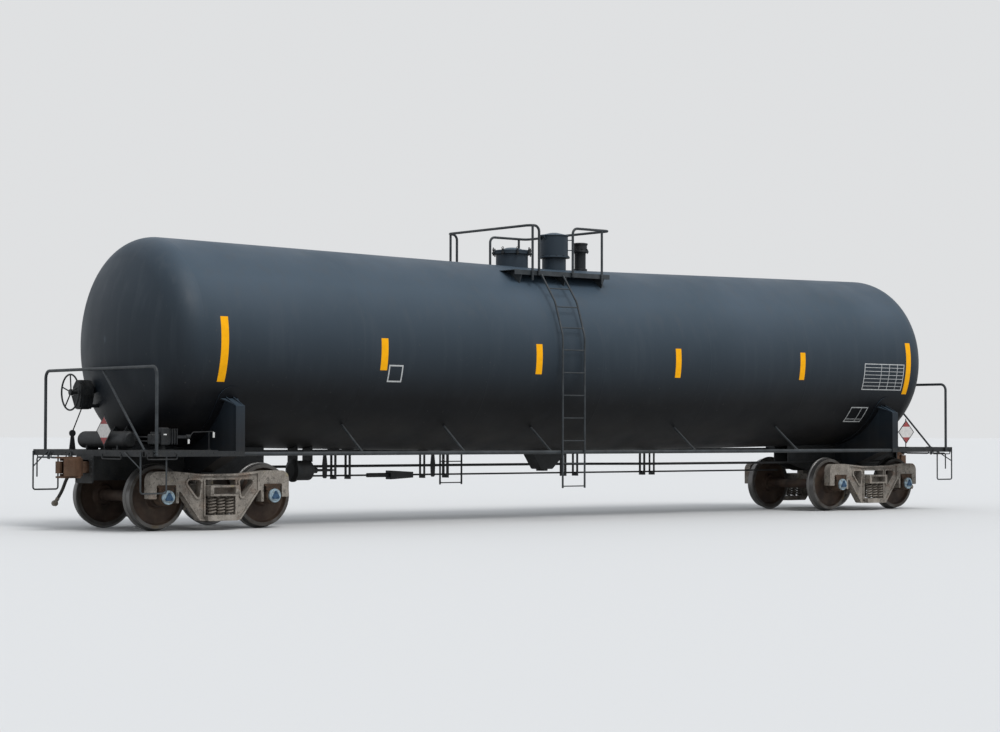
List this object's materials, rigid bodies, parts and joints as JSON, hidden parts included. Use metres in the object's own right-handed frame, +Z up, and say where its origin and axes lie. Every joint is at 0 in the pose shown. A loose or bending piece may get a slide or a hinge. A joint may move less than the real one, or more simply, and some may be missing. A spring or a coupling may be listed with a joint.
{
  "type": "railway tank car",
  "caption": "Long dark cylindrical tank car on two two-axle trucks, with end platforms, side ladders, top fittings platform, couplers and brake gear.",
  "frame": {"origin": "middle of the car at the lowest point of the wheel flanges", "axes": "+X along the car towards its A end, +Y across it to the hand brake's side, +Z up"},
  "size_m": [17.9964, 3.2206, 4.7474],
  "materials": {
    "tank_paint": "satin dark blue-black, dusty brown low down",
    "frame_paint": "dusty dark paint",
    "rail_paint": "worn dark blue-grey paint",
    "cast_dusty": "dusty grey-brown casting",
    "wheel_steel": "rusty with polished tread",
    "spring_steel": "dusty",
    "coupler_rust": "rusty",
    "brake_black": "dusty black",
    "hose_rubber": "dusty rubber",
    "gladhand_metal": "bare casting"
  },
  "bodies": {
    "car": {"tank_a": "tank_paint", "tank_b": "tank_paint", "body_bolster_a": "frame_paint", "body_bolster_b": "frame_paint", "stub_sill_a": "frame_paint", "stub_sill_b": "frame_paint", "end_platform_a": "frame_paint", "end_platform_b": "frame_paint", "end_handrail_a": "rail_paint", "end_handrail_b": "rail_paint", "side_rails": "rail_paint", "ladders": "rail_paint", "top_platform": "rail_paint", "top_handrails": "rail_paint", "manway_nozzle": "tank_paint", "valve_housing": "tank_paint", "safety_valve": "brake_black", "bottom_outlet": "brake_black", "brake_cylinder": "brake_black", "air_reservoir": "brake_black", "control_valve": "brake_black", "hand_brake": "brake_black", "sill_steps": "rail_paint", "uncoupling_levers": "rail_paint", "train_line": "brake_black", "air_hose_a": "hose_rubber", "air_hose_b": "hose_rubber", "gladhand_a": "gladhand_metal", "gladhand_b": "gladhand_metal", "brake_rods": "brake_black", "rod_hangers": "brake_black"},
    "truck_b": {"side_frames_b": "cast_dusty", "bearings_b": "cast_dusty", "truck_bolster_b": "cast_dusty", "springs_b": "spring_steel", "brake_beams_b": "cast_dusty"},
    "truck_a": {"side_frames_a": "cast_dusty", "bearings_a": "cast_dusty", "truck_bolster_a": "cast_dusty", "springs_a": "spring_steel", "brake_beams_a": "cast_dusty"},
    "wheelset_1": {"wheelset_1": "wheel_steel"},
    "wheelset_2": {"wheelset_2": "wheel_steel"},
    "wheelset_3": {"wheelset_3": "wheel_steel"},
    "wheelset_4": {"wheelset_4": "wheel_steel"},
    "coupler_b": {"coupler_b": "coupler_rust"},
    "knuckle_b": {"knuckle_b": "coupler_rust"},
    "coupler_a": {"coupler_a": "coupler_rust"},
    "knuckle_a": {"knuckle_a": "coupler_rust"},
    "manway_cover": {"manway_cover": "tank_paint"},
    "housing_lid": {"valve_housing_lid": "tank_paint"}
  },
  "joints": [
    {"name": "truck_b_swivel", "type": "hinge", "parent": "car", "child": "truck_b", "pos_m": [-6.96, 0, 0.6794], "axis": [0, 0, 1], "range_deg": [-8, 8]},
    {"name": "truck_a_swivel", "type": "hinge", "parent": "car", "child": "truck_a", "pos_m": [6.96, 0, 0.6794], "axis": [0, 0, 1], "range_deg": [-8, 8]},
    {"name": "wheelset_1_spin", "type": "hinge", "parent": "truck_b", "child": "wheelset_1", "pos_m": [-7.849, 0, 0.4826], "axis": [0, 1, 0], "continuous": true},
    {"name": "wheelset_2_spin", "type": "hinge", "parent": "truck_b", "child": "wheelset_2", "pos_m": [-6.071, 0, 0.4826], "axis": [0, 1, 0], "continuous": true},
    {"name": "wheelset_3_spin", "type": "hinge", "parent": "truck_a", "child": "wheelset_3", "pos_m": [6.071, 0, 0.4826], "axis": [0, 1, 0], "continuous": true},
    {"name": "wheelset_4_spin", "type": "hinge", "parent": "truck_a", "child": "wheelset_4", "pos_m": [7.849, 0, 0.4826], "axis": [0, 1, 0], "continuous": true},
    {"name": "coupler_b_swing", "type": "hinge", "parent": "car", "child": "coupler_b", "pos_m": [-7.9, 0, 0.9014], "axis": [0, 0, 1], "range_deg": [-7, 7]},
    {"name": "knuckle_b_open", "type": "hinge", "parent": "coupler_b", "child": "knuckle_b", "pos_m": [-8.82, 0.105, 0.9014], "axis": [0, 0, -1], "range_deg": [0, 45]},
    {"name": "coupler_a_swing", "type": "hinge", "parent": "car", "child": "coupler_a", "pos_m": [7.9, 0, 0.9014], "axis": [0, 0, 1], "range_deg": [-7, 7]},
    {"name": "knuckle_a_open", "type": "hinge", "parent": "coupler_a", "child": "knuckle_a", "pos_m": [8.82, -0.105, 0.9014], "axis": [0, 0, -1], "range_deg": [0, 45]},
    {"name": "manway_cover_hinge", "type": "hinge", "parent": "car", "child": "manway_cover", "pos_m": [-0.375, 0, 4.3704], "axis": [0, 1, 0], "range_deg": [0, 100]},
    {"name": "housing_lid_hinge", "type": "hinge", "parent": "car", "child": "housing_lid", "pos_m": [-0.062, 0, 4.6854], "axis": [0, -1, 0], "range_deg": [0, 100]}
  ]
}
